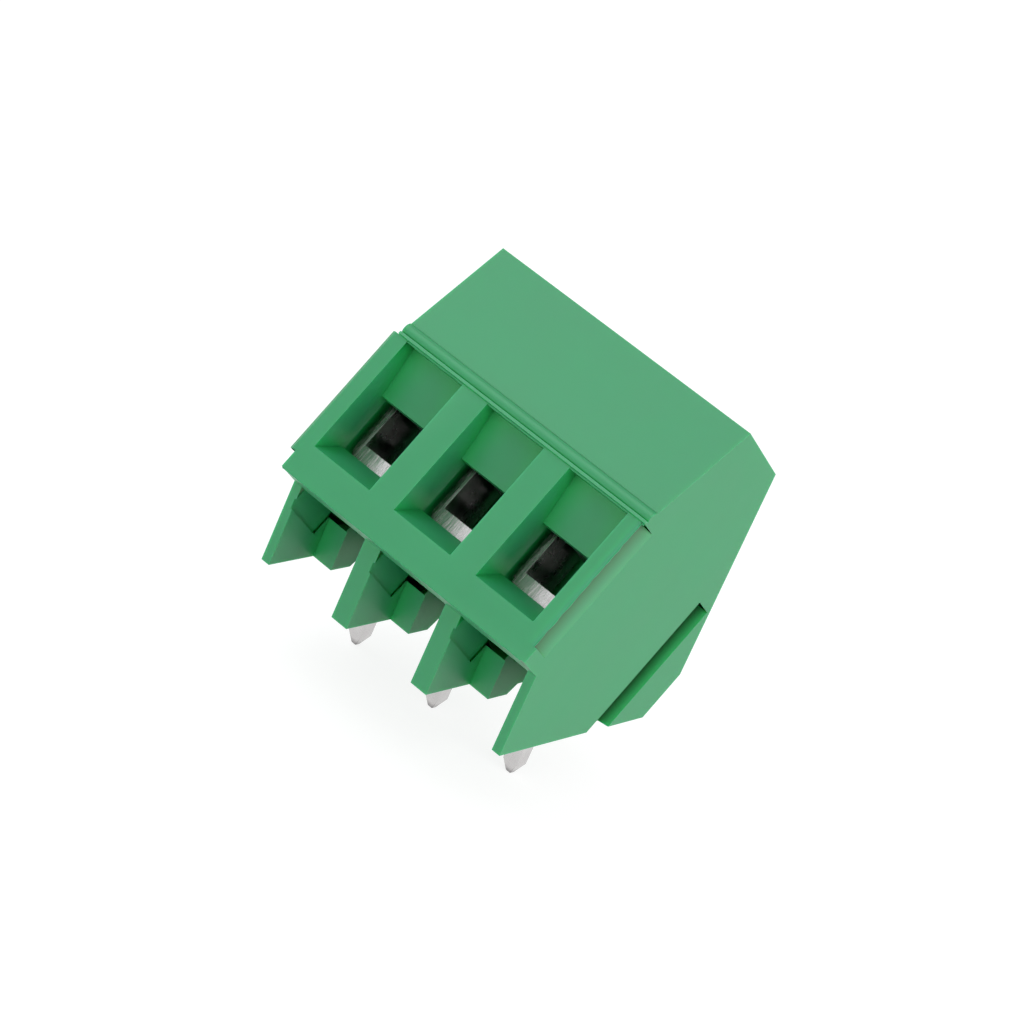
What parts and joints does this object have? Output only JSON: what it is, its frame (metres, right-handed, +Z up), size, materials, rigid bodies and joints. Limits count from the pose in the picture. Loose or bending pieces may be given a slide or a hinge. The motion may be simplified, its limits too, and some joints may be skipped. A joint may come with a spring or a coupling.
{
  "type": "pcb screw terminal",
  "caption": "Green screw terminal block for a circuit board, with leaning wire entries, rising-cage clamps and solder pins in one row.",
  "frame": {"origin": "middle of the row of solder pins, on the board's top face", "axes": "+X along the row of poles, +Y from the wire side to the back wall, +Z up from the board"},
  "size_m": [0.0156, 0.0133, 0.0196],
  "materials": {
    "housing": "satin moulded polyamide, slightly translucent green",
    "contact": "tin-plated brass strip",
    "cage": "nickel-plated brass with sheared edges",
    "screw": "zinc-plated steel"
  },
  "bodies": {
    "housing": {"housing": "housing", "contact_pin_1": "contact", "contact_pin_2": "contact", "contact_pin_3": "contact"},
    "cage_1": {"clamp_cage_1": "cage"},
    "cage_2": {"clamp_cage_2": "cage"},
    "cage_3": {"clamp_cage_3": "cage"},
    "screw_1": {"clamp_screw_1": "screw"},
    "screw_2": {"clamp_screw_2": "screw"},
    "screw_3": {"clamp_screw_3": "screw"}
  },
  "joints": [
    {"name": "screw_turn_1", "type": "hinge", "parent": "housing", "child": "screw_1", "pos_m": [-0.00508, 0.00349, 0.01393], "axis": [0, -0.5736, -0.8192], "range_deg": [0, 1440]},
    {"name": "cage_lift_1", "type": "slide", "parent": "housing", "child": "cage_1", "axis": [0, 0.5736, 0.8192], "range_m": [0, 0.0018]},
    {"name": "screw_turn_2", "type": "hinge", "parent": "housing", "child": "screw_2", "pos_m": [0, 0.00349, 0.01393], "axis": [0, -0.5736, -0.8192], "range_deg": [0, 1440]},
    {"name": "cage_lift_2", "type": "slide", "parent": "housing", "child": "cage_2", "axis": [0, 0.5736, 0.8192], "range_m": [0, 0.0018]},
    {"name": "screw_turn_3", "type": "hinge", "parent": "housing", "child": "screw_3", "pos_m": [0.00508, 0.00349, 0.01393], "axis": [0, -0.5736, -0.8192], "range_deg": [0, 1440]},
    {"name": "cage_lift_3", "type": "slide", "parent": "housing", "child": "cage_3", "axis": [0, 0.5736, 0.8192], "range_m": [0, 0.0018]}
  ],
  "couplings": [
    {"joint": "screw_turn_1", "follows": "cage_lift_1", "rad_per_m": 13963},
    {"joint": "screw_turn_2", "follows": "cage_lift_2", "rad_per_m": 13963},
    {"joint": "screw_turn_3", "follows": "cage_lift_3", "rad_per_m": 13963}
  ]
}
